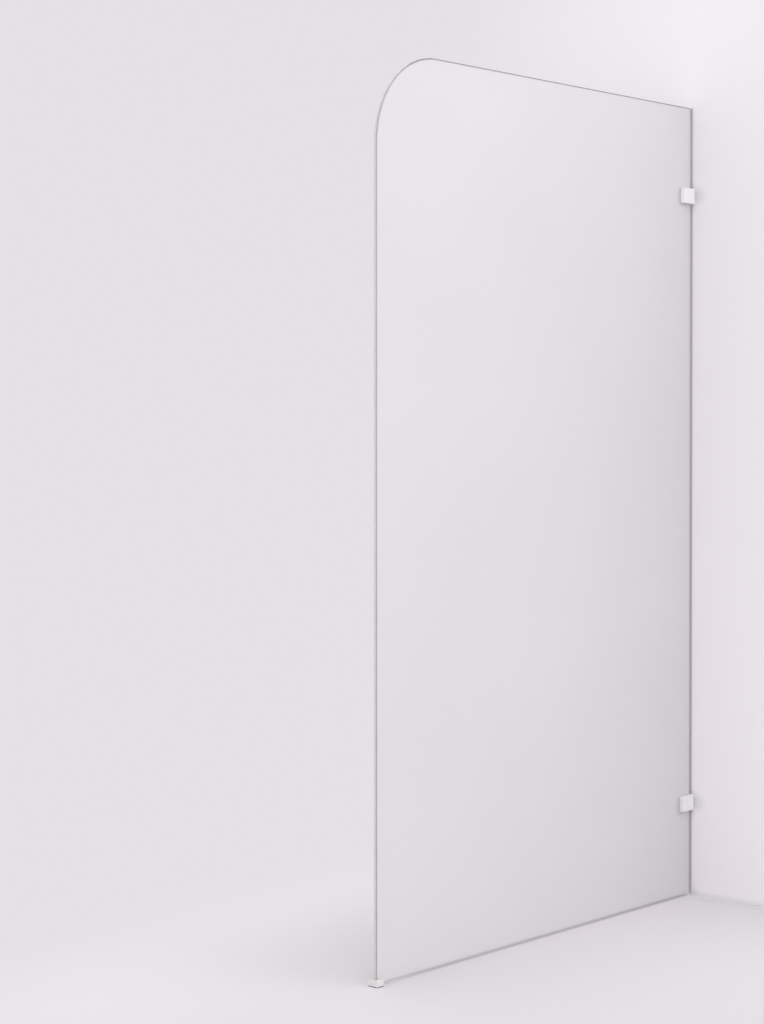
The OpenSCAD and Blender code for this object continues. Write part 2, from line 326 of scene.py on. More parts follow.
class Graph:
    """One node tree, with short calls to add nodes and join them."""

    def __init__(self, tree: bpy.types.NodeTree) -> None:
        """Empties the tree to start afresh.

        Args:
            tree: The node tree to fill.
        """
        self.tree = tree
        self.tree.nodes.clear()
        self.next_x = 0

    def add(self, kind: str, inputs: dict[Any, Any] | None = None, **settings: Any) -> bpy.types.Node:
        """Adds a node and sets or joins its inputs.

        Args:
            kind: The node's type, without the ShaderNode in front.
            inputs: Input names or numbers, each with a value or a socket to join it to.
            settings: The node's own settings.

        Returns:
            The new node.
        """
        prefix = "" if kind.startswith("NodeGroup") else "ShaderNode"
        node = self.tree.nodes.new(prefix + kind)
        node.location = (self.next_x, 0)
        self.next_x += NODE_SPACING
        for name, value in settings.items():
            setattr(node, name, value)
        for key, value in (inputs or {}).items():
            if isinstance(value, Socket):
                self.tree.links.new(value, node.inputs[key])
            else:
                node.inputs[key].default_value = value
        return node

    def math(self, operation: str, a: Any, b: Any = 0.0) -> Socket:
        """Adds a Math node and returns its result."""
        return self.add("Math", {0: a, 1: b}, operation=operation).outputs[0]

    def beyond(self, value: Any, limit: Any) -> Socket:
        """Returns how far a value is past a limit, or 0 before it."""
        return self.math("MAXIMUM", self.math("SUBTRACT", value, limit), 0.0)

    def apart(self, a: Any, b: Any) -> Socket:
        """Returns how far two values are apart."""
        return self.math("ABSOLUTE", self.math("SUBTRACT", a, b))

    def vector(self, operation: str, a: Any, b: Any = (0.0, 0.0, 0.0)) -> Socket:
        """Adds a Vector Math node and returns its result, a number or a vector."""
        outputs = self.add("VectorMath", {0: a, 1: b}, operation=operation).outputs
        return outputs["Value"] if operation in ("LENGTH", "DOT_PRODUCT") else outputs["Vector"]

    def split(self, vector: Socket) -> bpy.types.NodeOutputs:
        """Returns a vector's X, Y and Z."""
        return self.add("SeparateXYZ", {0: vector}).outputs

    def ramp(self, value: Socket, low: float, high: float, start: Any = 0.0, end: Any = 1.0,
             easing: Easing = Easing.PLAIN) -> Socket:
        """Turns a value into a mask or a measure that stays level outside the ramp.

        Args:
            value: The value to follow.
            low: Where the ramp starts.
            high: Where it ends.
            start: The result up to low.
            end: The result from high on.
            easing: How it runs between them.

        Returns:
            The result.
        """
        inputs = {0: value, 1: low, 2: high, 3: start, 4: end}
        return self.add("MapRange", inputs, interpolation_type=easing.value).outputs[0]

    def mix(self, factor: Any, a: Any, b: Any) -> Socket:
        """Mixes two colours and returns the result."""
        node = self.add("Mix", {0: factor, MIX_A: a, MIX_B: b}, data_type="RGBA", clamp_factor=True)
        return node.outputs[MIX_RESULT]

    def blend(self, factor: Socket, a: bpy.types.Node, b: bpy.types.Node) -> bpy.types.Node:
        """Mixes two shaders and returns the node."""
        return self.add("MixShader", {0: factor, 1: a.outputs[0], 2: b.outputs[0]})

    def seen(self) -> Socket:
        """Tells rays that show a surface, straight or in gloss or glass, from rays that light it.

        Returns:
            A mask that is 1 for the rays that show it.
        """
        path = self.add("LightPath").outputs
        straight_or_gloss = self.math("MAXIMUM", path["Is Camera Ray"], path["Is Glossy Ray"])
        return self.math("MAXIMUM", straight_or_gloss, path["Is Transmission Ray"])

    def place(self, group: bpy.types.NodeTree, inputs: dict[str, Any]) -> bpy.types.NodeOutputs:
        """Places a shared group in this tree with its own values, and returns what it puts out."""
        return self.add("Group", inputs, node_tree=group).outputs


def rgba(colour: Colour) -> tuple[float, float, float, float]:
    """Adds a full alpha to a colour."""
    return (*colour, 1.0)


class SharedEffects:
    """The effects that several finishes use, each built once as a node group."""

    GRAIN_BREAK_UP = 0.55
    GRAIN_SPAN = (0.3, 0.7)
    CLOUD_BREAK_UP = 0.5
    CLOUD_SPAN = (0.35, 0.65)
    SLOW_DETAIL = 2.0
    RING_WANDER = 0.6
    TONES = [("Light", "Color", rgba(WHITE)), ("Shade", "Color", rgba(BLACK))]

    def __init__(self) -> None:
        """Builds the three groups."""
        self.grain = self._grain()
        self.cloud = self._cloud()
        self.rings = self._rings()

    @staticmethod
    def _new(name: str, inputs: Sequence[tuple[str, str, Any]],
             outputs: Sequence[tuple[str, str]]) -> tuple[Graph, bpy.types.NodeOutputs]:
        """Starts a group with its named inputs, after Vector and Scale, and its outputs.

        Args:
            name: The group's name.
            inputs: The name, kind and starting value of each further input.
            outputs: The name and kind of each output.

        Returns:
            The group's graph and the sockets of its inputs.
        """
        tree = bpy.data.node_groups.new(name, "ShaderNodeTree")
        graph = Graph(tree)
        for label, kind, value in [("Vector", "Vector", None), ("Scale", "Float", 1.0), *inputs]:
            socket = tree.interface.new_socket(label, in_out="INPUT", socket_type=f"NodeSocket{kind}")
            if value is not None:
                socket.default_value = value
        for label, kind in outputs:
            tree.interface.new_socket(label, in_out="OUTPUT", socket_type=f"NodeSocket{kind}")
        return graph, graph.add("NodeGroupInput").outputs

    def _grain(self) -> bpy.types.NodeTree:
        """Makes the fine moulded, sprayed or etched grain.

        Returns:
            A group with a height, and a roughness that follows it.
        """
        graph, start = self._new(
            "surface_grain",
            [("Detail", "Float", 3.0), ("Low Roughness", "Float", 0.4), ("High Roughness", "Float", 0.5)],
            [("Height", "Float"), ("Roughness", "Float")])
        noise = graph.add("TexNoise", {"Vector": start["Vector"], "Scale": start["Scale"],
                                       "Detail": start["Detail"], "Roughness": self.GRAIN_BREAK_UP})
        height = noise.outputs["Fac"]
        roughness = graph.ramp(height, *self.GRAIN_SPAN, start["Low Roughness"], start["High Roughness"])
        graph.add("NodeGroupOutput", {"Height": height, "Roughness": roughness})
        return graph.tree

    def _cloud(self) -> bpy.types.NodeTree:
        """Makes the slow, faint change of tone over a surface.

        Returns:
            A group with a colour that drifts between its two.
        """
        graph, start = self._new("slow_cloud", self.TONES, [("Color", "Color")])
        noise = graph.add("TexNoise", {"Vector": start["Vector"], "Scale": start["Scale"],
                                       "Detail": self.SLOW_DETAIL, "Roughness": self.CLOUD_BREAK_UP})
        mask = graph.ramp(noise.outputs["Fac"], *self.CLOUD_SPAN)
        graph.add("NodeGroupOutput", {"Color": graph.mix(mask, start["Light"], start["Shade"])})
        return graph.tree

    def _rings(self) -> bpy.types.NodeTree:
        """Makes turning marks: fine rings round the Y axis through the pattern's centre.

        Returns:
            A group with a colour and a height.
        """
        graph, start = self._new("turning_rings", self.TONES, [("Color", "Color"), ("Height", "Float")])
        wave = graph.add("TexWave", {"Vector": start["Vector"], "Scale": start["Scale"],
                                     "Distortion": self.RING_WANDER, "Detail": self.SLOW_DETAIL},
                         wave_type="RINGS", rings_direction="Y")
        height = wave.outputs["Fac"]
        tone = graph.mix(height, start["Light"], start["Shade"])
        graph.add("NodeGroupOutput", {"Color": tone, "Height": height})
        return graph.tree


EFFECTS = SharedEffects()


# Finishes


@dataclass(frozen=True)
class Pattern:
    """What a finish's tone is made of: a material's graph, the place on the piece and the grain's height."""

    graph: Graph
    vector: Socket
    grain: Socket


@dataclass(frozen=True)
class Finish:
    """A finish that a piece is dressed in.

    Its shade is a slightly darker tone of the same colour, which drifts slowly over the surface.
    """

    name: str
    slot: Slot
    light: Colour
    shade: Colour
    cloud_scale: float = 6.0
    grain_scale: float = 900.0
    grain_detail: float = 3.0
    grain_height: float = 0.05 * MM
    bump_strength: float = 1.0
    roughness: tuple[float, float] = (0.4, 0.5)
    ior: float = 1.5
    metallic: float = 0.0
    transmission: float = 0.0
    subsurface: float = 0.0
    subsurface_depth: float = 2 * MM
    centre: Point = (0.0, 0.0, 0.0)

    def material(self) -> bpy.types.Material:
        """Makes this finish's material on first use, and finds it again after that.

        Returns:
            The material.
        """
        made = bpy.data.materials.get(self.name)
        if made is None:
            made = bpy.data.materials.new(self.name)
            made.use_nodes = True
            graph = Graph(made.node_tree)
            graph.add("OutputMaterial", {"Surface": self.shader(graph).outputs[0]})
        return made

    def shader(self, graph: Graph) -> bpy.types.Node:
        """Builds the surface: its tone, a fine grain and the shader's plain values.

        The pattern lies on Object coordinates, centred on this finish's centre.

        Args:
            graph: The material's graph.

        Returns:
            The Principled BSDF node.
        """
        where = graph.add("TexCoord").outputs["Object"]
        vector = graph.add("Mapping", {"Vector": where, "Location": [-c for c in self.centre]}).outputs[0]
        grain = graph.place(EFFECTS.grain, {"Vector": vector, "Scale": self.grain_scale,
                                            "Detail": self.grain_detail,
                                            "Low Roughness": self.roughness[0],
                                            "High Roughness": self.roughness[1]})
        tone, height = self.tone_and_height(Pattern(graph, vector, grain["Height"]))
        bump = graph.add("Bump", {"Height": height, "Distance": self.grain_height,
                                  "Strength": self.bump_strength})
        return graph.add("BsdfPrincipled", {
            "Base Color": tone, "Roughness": grain["Roughness"], "Normal": bump.outputs["Normal"],
            "Metallic": self.metallic, "IOR": self.ior, "Transmission Weight": self.transmission,
            "Subsurface Weight": self.subsurface, "Subsurface Radius": (self.subsurface_depth,) * 3,
            "Subsurface Scale": 1.0})

    def cloud(self, on: Pattern, scale: float, light: Any) -> Socket:
        """Drifts from a light colour to this finish's shade, and returns the tone."""
        return on.graph.place(EFFECTS.cloud, {"Vector": on.vector, "Scale": scale, "Light": light,
                                              "Shade": rgba(self.shade)})["Color"]

    def tone_and_height(self, on: Pattern) -> tuple[Socket, Socket]:
        """Gives the surface a drifting tone and the height of its grain.

        Args:
            on: The pattern.

        Returns:
            The sockets of the tone and the height.
        """
        return self.cloud(on, self.cloud_scale, rgba(self.light)), on.grain


@dataclass(frozen=True)
class TurnedFinish(Finish):
    """Turned metal, with fine rings round the axis of its piece."""

    bump_strength: float = 0.6
    ring_scale: float = 900.0

    def tone_and_height(self, on: Pattern) -> tuple[Socket, Socket]:
        """Gives the metal turning marks in tone and height.

        Args:
            on: The pattern, whose grain the rings stand in for.

        Returns:
            The sockets of the tone and the height.
        """
        rings = on.graph.place(EFFECTS.rings, {"Vector": on.vector, "Scale": self.ring_scale,
                                               "Light": rgba(self.light), "Shade": rgba(self.shade)})
        return rings["Color"], rings["Height"]


@dataclass(frozen=True)
class EtchedFinish(Finish):
    """Acid-etched glass: a milky face that lets a little light through.

    Along the free and the top edge, next to the arris, the face is painted darker in a narrow band: painted
    shade that thickens the edge line.
    """

    grain_detail: float = 4.0
    bump_strength: float = 0.5
    fine_scale: float = 88.0
    fine_share: float = 0.25
    # painted shade: a darker band on the face along the free and top edges
    edge_shade_tone: Colour = (0.46, 0.436, 0.452)
    edge_shade_full: float = 2.7 * MM
    edge_shade_end: float = 3.9 * MM
    corner_radius: float = PANE_CORNER

    def edge_shade_mask(self, on: Pattern) -> Socket:
        """Masks the band of painted edge shade by its distance from the pane's outline, round the corner as
        well.

        Args:
            on: The pattern.

        Returns:
            A mask that is 1 next to the arris and 0 past the painted band.
        """
        graph = on.graph
        place = graph.split(on.vector)
        outward = graph.beyond(PANE_BOX[0].x + self.corner_radius, place["X"])
        upward = graph.beyond(place["Z"], PANE_BOX[1].z - self.corner_radius)
        away = graph.vector("LENGTH", graph.add("CombineXYZ", {0: outward, 2: upward}).outputs[0])
        inside = graph.math("SUBTRACT", self.corner_radius, away)
        return graph.ramp(inside, self.edge_shade_full, self.edge_shade_end, 1.0, 0.0, Easing.SOFT)

    def tone_and_height(self, on: Pattern) -> tuple[Socket, Socket]:
        """Gives the glass two sizes of cloud, the painted edge shade and the height of its frost.

        Args:
            on: The pattern.

        Returns:
            The sockets of the tone and the height.
        """
        broad = self.cloud(on, self.cloud_scale, rgba(self.light))
        tone = on.graph.mix(self.fine_share, broad, self.cloud(on, self.fine_scale, broad))
        return on.graph.mix(self.edge_shade_mask(on), tone, rgba(self.edge_shade_tone)), on.grain


@dataclass(frozen=True)
class ArrisFinish(Finish):
    """The ground arris, with painted shade that makes it darkest along the top edge and lighter down the
    free edge.
    """

    # painted shade: the arris darkens towards the top edge
    top_shade_tone: Colour = (0.12, 0.112, 0.118)
    shade_start_height: float = PANE_BOX[1].z - 50 * MM
    shade_full_height: float = PANE_BOX[1].z - 2 * MM

    def tone_and_height(self, on: Pattern) -> tuple[Socket, Socket]:
        """Gives the arris painted shade that deepens near the top, and the height of its grinding grain.

        Args:
            on: The pattern.

        Returns:
            The sockets of the tone and the height.
        """
        soft = self.cloud(on, self.cloud_scale, rgba(self.light))
        height = on.graph.split(on.vector)["Z"]
        top_shade = on.graph.ramp(height, self.shade_start_height, self.shade_full_height, easing=Easing.SOFT)
        return on.graph.mix(top_shade, soft, rgba(self.top_shade_tone)), on.grain


ETCHED_GLASS = EtchedFinish(
    name="etched_glass", slot=Slot.SATIN_GLASS, light=(0.78, 0.754, 0.774), shade=(0.762, 0.736, 0.756),
    cloud_scale=2.2, grain_scale=2600.0, grain_height=0.03 * MM, roughness=(0.5, 0.62),
    transmission=0.22)
POLISHED_ARRIS = ArrisFinish(
    name="polished_arris", slot=Slot.SATIN_GLASS, light=(0.40, 0.376, 0.393), shade=(0.365, 0.343, 0.358),
    cloud_scale=30.0, grain_scale=1800.0, grain_height=0.01 * MM, roughness=(0.10, 0.2))
POLISHED_EDGE = Finish(
    name="polished_edge", slot=Slot.SATIN_GLASS, light=(0.82, 0.787, 0.811), shade=(0.78, 0.748, 0.771),
    cloud_scale=30.0, grain_scale=1800.0, grain_height=0.01 * MM, roughness=(0.10, 0.2),
    transmission=0.3)
POWDER_COAT = Finish(
    name="powder_coat", slot=Slot.WHITE_PAINT, light=(0.825, 0.803, 0.818), shade=(0.805, 0.783, 0.798),
    cloud_scale=45.0, grain_scale=1500.0, grain_height=0.06 * MM, roughness=(0.38, 0.5))
# painted shade: a darker copy of the powder coat for the clip that stands in the floor's shade
SHADED_FLOOR_COAT = replace(
    POWDER_COAT, name="powder_coat_shaded_floor", light=(0.695, 0.674, 0.688), shade=(0.677, 0.657, 0.67))
SOFT_GASKET = Finish(
    name="soft_gasket", slot=Slot.CLEAR_GASKET, light=(0.74, 0.74, 0.76), shade=(0.70, 0.70, 0.72),
    cloud_scale=60.0, grain_scale=1200.0, grain_height=0.02 * MM, roughness=(0.3, 0.42), ior=1.42,
    transmission=0.35, subsurface=0.1)
MOULDED_NYLON = Finish(
    name="moulded_nylon", slot=Slot.NYLON, light=(0.84, 0.83, 0.79), shade=(0.80, 0.79, 0.75),
    cloud_scale=70.0, grain_scale=1600.0, grain_height=0.03 * MM, roughness=(0.42, 0.55), ior=1.53,
    subsurface=0.12)
BRIGHT_STEEL = Finish(
    name="bright_steel", slot=Slot.STAINLESS, light=(0.62, 0.61, 0.60), shade=(0.55, 0.54, 0.53),
    cloud_scale=90.0, grain_scale=2400.0, grain_height=0.01 * MM, roughness=(0.24, 0.36), metallic=1.0)
DARK_RUBBER = Finish(
    name="dark_rubber", slot=Slot.DARK_RUBBER, light=(0.045, 0.045, 0.048), shade=(0.03, 0.03, 0.032),
    cloud_scale=80.0, grain_scale=1400.0, grain_height=0.05 * MM, roughness=(0.7, 0.85))


# Sub-assemblies


@dataclass
class SubAssembly:
    """A group of pieces that are fitted together."""

    pieces: list[bpy.types.Object] = field(default_factory=list, init=False)

    def build(self) -> None:
        """Models and dresses every piece."""
        raise NotImplementedError

    def dress(self, node: str, bm: Shape, *finishes: Finish) -> None:
        """Makes a shape the piece that stands for a node of the frame.

        Args:
            node: The node that it stands for.
            bm: Its shape.
            finishes: Its finishes, in the order of its faces' material numbers.
        """
        piece = link(f"{node}_dressed", bm)
        for finish in finishes:
            piece.data.materials.append(finish.material())
        piece.data.shade_smooth()
        piece.data.set_sharp_from_angle(angle=SMOOTH_ANGLE)
        even = piece.modifiers.new("Even shading", "WEIGHTED_NORMAL")
        even.keep_sharp = True
        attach(piece, BODY)
        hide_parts(node)
        self.pieces.append(piece)


@dataclass
class GlassPane(SubAssembly):
    """The satin pane with its round top corner, polished edges and two clamp holes.

    Flat, facing and square are limits on a face's normal, by which its kind of finish is told.
    """

    corner_radius: float = PANE_CORNER
    corner_steps: int = 72
    arris: float = 1.5 * MM
    hole_radius: float = 7 * MM
    hole_inset: float = 21 * MM
    hole_arris: float = 0.75 * MM
    flat: float = 0.99
    facing: float = 0.9
    square: float = 0.1

    def build(self) -> None:
        """Cuts the pane, rounds its corner, grinds its arrises and drills it."""
        low, high = PANE_BOX
        bm = block(low, high)
        round_edges(bm, self.corner_radius, self.corner_steps,
                    lambda edge: all(v.co.x < low.x + NEAR and v.co.z > high.z - NEAR for v in edge.verts))
        round_edges(bm, self.arris, 1, lambda edge: edge.verts[0].co.y == edge.verts[1].co.y)
        bm = carve(bm, cut=[self.hole_cutter(clamp) for clamp in CLAMPS])
        for face in bm.faces:
            face.material_index = self.kind(face).value
        self.dress("glass_panel", bm, ETCHED_GLASS, POLISHED_EDGE, POLISHED_ARRIS)

    def hole_cutter(self, clamp: str) -> Shape:
        """Makes the drill for a clamp's hole, level with its bolt and with an arris at both mouths.

        Args:
            clamp: The clamp's name.

        Returns:
            The cutter as a new bmesh.
        """
        high = PANE_BOX[1]
        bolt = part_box(f"{clamp}_clamp_bolt")
        half = high.y
        wide = self.hole_radius + self.hole_arris + PAST
        centre = (high.x - self.hole_inset, 0, (bolt[0].z + bolt[1].z) / 2)
        return turned([(0, -half - PAST), (wide, -half - PAST),
                       (self.hole_radius, self.hole_arris - half),
                       (self.hole_radius, half - self.hole_arris),
                       (wide, half + PAST), (0, half + PAST)], centre, Axis.Y)

    def kind(self, face: bmesh.types.BMFace) -> PaneFace:
        """Tells the etched faces, the polished edges and the arrises apart.

        The wall edge and the bottom edge take the dark arris tone as painted shade in the gaps at the wall
        and the floor, and the bottom arris takes the lighter etched tone, painted light that keeps a dark
        line off the pane's foot.

        Args:
            face: A face of the pane.

        Returns:
            The face's kind.
        """
        across = abs(face.normal.y)
        if across > self.flat:
            return PaneFace.ETCHED
        if across < self.square:
            # painted shade: edges that face the wall or the floor take the dark arris finish
            dark = max(face.normal.x, -face.normal.z) > self.facing
            return PaneFace.ARRIS if dark else PaneFace.EDGE
        # painted light: the bottom arris takes the lighter etched finish
        return PaneFace.ETCHED if face.normal.z < -self.square else PaneFace.ARRIS


@dataclass(frozen=True)
class Screw:
    """A screw that is driven from the shower side by its hexagon socket.

    A cone joins its head to its shank, and a grub screw's head is as wide as its shank. The thread is
    one groove, whose depth, rise over the crest and half width are shares of the pitch.
    """

    head_radius: float
    shank_radius: float
    broken_edge: float
    socket_across: float
    socket_depth: float
    pitch: float
    turns: int
    steps: int = TURN_STEPS
    mouth_share: float = 0.0
    tip_share: float = 0.25
    groove_depth: float = 0.6
    groove_rise: float = 0.05
    groove_half: float = 0.48
    groove_steps: int = 24

    def make(self, face: Point, tip_y: float) -> Shape:
        """Turns the screw, broaches its socket and cuts its thread.

        Args:
            face: The middle of its head's face.
            tip_y: The place of its tip along Y.

        Returns:
            The screw as a new bmesh.
        """
        radius, length = self.shank_radius, face[1] - tip_y
        cone = self.head_radius - radius
        tip = radius * self.tip_share
        head = [(0, 0), (self.head_radius - self.broken_edge, 0), (self.head_radius, self.broken_edge)]
        if cone > 0:
            head.append((radius, cone + self.broken_edge))
        bm = turned([*head, (radius, length - tip), (radius - tip, length), (0, length)],
                    face, Axis.MINUS_Y, self.steps)
        cutters = [self.socket(face), self.thread((face[0], tip_y, face[2]))]
        if self.mouth_share > 0:
            mouth = self.socket_across * self.mouth_share
            funnel = turned([(0, -PAST), (mouth + PAST, -PAST), (0, mouth)], face, Axis.MINUS_Y)
            cutters.insert(0, funnel)
        return carve(bm, cut=cutters)

    def socket(self, face: Point) -> Shape:
        """Makes the hexagonal cutter for the socket.

        Args:
            face: The middle of the head's face.

        Returns:
            The cutter as a new bmesh.
        """
        bm = bmesh.new()
        radius = self.socket_across / 2 / math.cos(math.pi / HEX_SIDES)
        bmesh.ops.create_cone(bm, cap_ends=True, segments=HEX_SIDES, radius1=radius, radius2=radius,
                              depth=self.socket_depth + PAST)
        bmesh.ops.translate(bm, verts=bm.verts, vec=(0, 0, (self.socket_depth - PAST) / 2))
        bmesh.ops.transform(bm, matrix=Matrix.Translation(face) @ Axis.MINUS_Y.turn, verts=bm.verts)
        return bm

    def thread(self, tip: Point) -> Shape:
        """Makes the cutter for the thread: one groove that winds up from the tip.

        Args:
            tip: The middle of the screw's tip.

        Returns:
            The cutter as a new bmesh.
        """
        bm = bmesh.new()
        pitch = self.pitch
        root = self.shank_radius - self.groove_depth * pitch
        rim = self.shank_radius + self.groove_rise * pitch
        half = self.groove_half * pitch
        corners = [(root, -pitch), (rim, -pitch - half), (rim, -pitch + half)]
        face = bm.faces.new([bm.verts.new((away, 0, along)) for away, along in corners])
        steps = self.groove_steps * self.turns
        bmesh.ops.spin(bm, geom=[*face.verts, *face.edges, face], cent=(0, 0, 0), axis=(0, 0, 1),
                       dvec=(0, 0, pitch * self.turns / steps), angle=FULL_TURN * self.turns, steps=steps,
                       use_merge=False, use_duplicate=False)
        bmesh.ops.recalc_face_normals(bm, faces=bm.faces)
        bmesh.ops.transform(bm, matrix=Matrix.Translation(tip) @ Axis.Y.turn, verts=bm.verts)
        return bm


@dataclass
class WallClamp(SubAssembly):
    """One wall clamp: body, front jaw, two gaskets, glass bush, bolt and edge pad.

    The key on the body's foot fits a slot in the front jaw, so that the jaw can't turn.
    """

    name: str = "upper"
    edge_radius: float = 1.2 * MM
    inner_radius: float = 0.3 * MM
    edge_steps: int = 4
    seat_radius: float = 6.1 * MM
    bore_radius: float = 3.2 * MM
    head_recess: float = 0.4 * MM
    bolt_form: Screw = Screw(head_radius=6 * MM, shank_radius=3 * MM, broken_edge=0.15 * MM,
                             socket_across=4 * MM, socket_depth=2.6 * MM, pitch=1 * MM, turns=12,
                             mouth_share=0.62)
    gasket_clear: float = 0.1 * MM
    pad_radius: float = 0.2 * MM
    screw_gap: float = 22 * MM
    screw_radius: float = 2.25 * MM
    sink_radius: float = 4.2 * MM
    key_half_height: float = 11 * MM
    key_half_width: float = 1 * MM
    key_proud: float = 3 * MM
    key_root: float = 2 * MM
    key_break: float = 0.2 * MM
    key_clear: float = 0.2 * MM
    slot_depth: float = 2.7 * MM
    blind_depth: float = 7.2 * MM
    break_edge: float = 0.15 * MM

    def __post_init__(self) -> None:
        """Takes this clamp's places from the frame."""
        body_low, body_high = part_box(self.node("clamp_body"))
        jaw_low, jaw_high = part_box(self.node("front_jaw"))
        bolt_low, bolt_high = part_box(self.node("clamp_bolt"))
        pad_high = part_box(self.node("edge_pad"))[1]
        self.wall = body_high.x
        self.end = body_low.x
        self.bottom, self.top = body_low.z, body_high.z
        self.middle = (self.bottom + self.top) / 2
        self.outer = body_high.y
        self.foot_front = body_low.y
        self.foot_inner = pad_high.x
        self.jaw_inner, self.jaw_end = jaw_high.y, jaw_high.x
        self.key_y = (jaw_low.y + jaw_high.y) / 2
        self.glass_half = pad_high.y
        self.bolt_x = (bolt_low.x + bolt_high.x) / 2
        self.bolt_tip = bolt_low.y
        self.steel = TurnedFinish(
            name=f"{self.name}_turned_steel", slot=Slot.STAINLESS, light=(0.62, 0.61, 0.60),
            shade=(0.50, 0.49, 0.48), grain_scale=2400.0, grain_height=0.008 * MM,
            roughness=(0.22, 0.34), metallic=1.0, centre=(self.bolt_x, 0.0, self.middle))

    def node(self, part: str) -> str:
        """Gives the frame's name of one of this clamp's parts."""
        return f"{self.name}_{part}"

    def build(self) -> None:
        """Builds this clamp's seven pieces."""
        self.dress(self.node("clamp_body"), self.body(), POWDER_COAT)
        self.dress(self.node("front_jaw"), self.front_jaw(), POWDER_COAT)
        for side in Side:
            self.dress(self.node(side.value), self.gasket(side), SOFT_GASKET)
        self.dress(self.node("glass_bush"), self.bush(), MOULDED_NYLON)
        self.dress(self.node("clamp_bolt"), self.bolt(), self.steel)
        pad = self.node("edge_pad")
        self.dress(pad, rounded(pad, self.pad_radius), MOULDED_NYLON)

    def body(self) -> Shape:
        """Casts the foot and the rear jaw in one, with the key, the bolt seat and the screw holes.

        Returns:
            The clamp body as a new bmesh.
        """
        inner = -self.jaw_inner
        bm = prism([(self.end, self.outer), (self.end, inner), (self.foot_inner, inner),
                    (self.foot_inner, self.foot_front), (self.wall, self.foot_front),
                    (self.wall, self.outer)], self.bottom, self.top)
        round_edges(bm, self.edge_radius, self.edge_steps, is_outer)
        key = self.key_block(self.foot_inner - self.key_proud, self.foot_inner + self.key_root, 0)
        round_edges(key, self.key_break, SOFT_STEPS,
                    lambda edge: all(v.co.x < self.foot_inner for v in edge.verts))
        through = self.wall - self.foot_inner + PAST
        screws = [drill(self.screw_radius, through,
                        (self.foot_inner, 0, self.middle + side * self.screw_gap / 2), Axis.X,
                        self.sink_radius - self.screw_radius) for side in (-1, 1)]
        return carve(bm, cut=[self.bolt_seat(), self.gasket_recess(Side.SHOWER), *screws], add=[key])

    def bolt_seat(self) -> Shape:
        """Makes the cutter for the countersunk bolt: recess, cone and clearance hole.

        Returns:
            The cutter as a new bmesh.
        """
        cone = self.seat_radius - self.bore_radius
        depth = self.outer + self.glass_half
        return turned([(0, -PAST), (self.seat_radius + self.break_edge + PAST, -PAST),
                       (self.seat_radius, self.break_edge), (self.seat_radius, self.head_recess),
                       (self.bore_radius, self.head_recess + cone), (self.bore_radius, depth),
                       (0, depth)], (self.bolt_x, self.outer, self.middle), Axis.MINUS_Y)

    def key_block(self, start: float, end: float, grow: float) -> Shape:
        """Makes the key, or the cutter for its slot.

        Args:
            start: Where it starts along the glass.
            end: Where it ends.
            grow: How much room the slot leaves round the key.

        Returns:
            The block as a new bmesh.
        """
        wide, tall = self.key_half_width + grow, self.key_half_height + grow
        return block((start, self.key_y - wide, self.middle - tall),
                     (end, self.key_y + wide, self.middle + tall))

    def gasket_recess(self, side: Side) -> Shape:
        """Makes the cutter for the shallow recess that holds a gasket.

        Args:
            side: The side of the glass.

        Returns:
            The cutter as a new bmesh.
        """
        low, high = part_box(self.node(side.value))
        grow = Vector((self.gasket_clear, 0, self.gasket_clear))
        return block(low - grow, high + grow)

    def front_jaw(self) -> Shape:
        """Mills the cover jaw with its key slot, blind bolt hole and gasket recess.

        Returns:
            The jaw as a new bmesh.
        """
        bm = rounded(self.node("front_jaw"), self.edge_radius, self.edge_steps)
        slot = self.key_block(self.jaw_end - self.slot_depth, self.jaw_end + PAST, self.key_clear)
        bore = drill(self.bore_radius, self.blind_depth, (self.bolt_x, self.jaw_inner, self.middle),
                     Axis.MINUS_Y)
        return carve(bm, cut=[slot, bore, self.gasket_recess(Side.FRONT)])

    def gasket(self, side: Side) -> Shape:
        """Stamps a gasket with its bolt hole and soft edges.

        Args:
            side: The side of the glass.

        Returns:
            The gasket as a new bmesh.
        """
        node = self.node(side.value)
        low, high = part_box(node)
        bm = rounded(node, self.inner_radius)
        hole = drill(self.bore_radius, high.y - low.y + PAST, (self.bolt_x, low.y, self.middle), Axis.Y)
        return carve(bm, cut=[hole])

    def bush(self) -> Shape:
        """Turns the sleeve that keeps the bolt off the glass.

        Returns:
            The sleeve as a new bmesh.
        """
        low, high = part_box(self.node("glass_bush"))
        radius, length, soft = (high.z - low.z) / 2, high.y - low.y, self.inner_radius
        return turned([(self.bore_radius, soft), (self.bore_radius + soft, 0), (radius - soft, 0),
                       (radius, soft), (radius, length - soft), (radius - soft, length),
                       (self.bore_radius + soft, length), (self.bore_radius, length - soft)],
                      (self.bolt_x, low.y, self.middle), Axis.Y)

    def bolt(self) -> Shape:
        """Makes the countersunk bolt, whose face lies a little below the body's."""
        face = (self.bolt_x, self.outer - self.head_recess, self.middle)
        return self.bolt_form.make(face, self.bolt_tip)


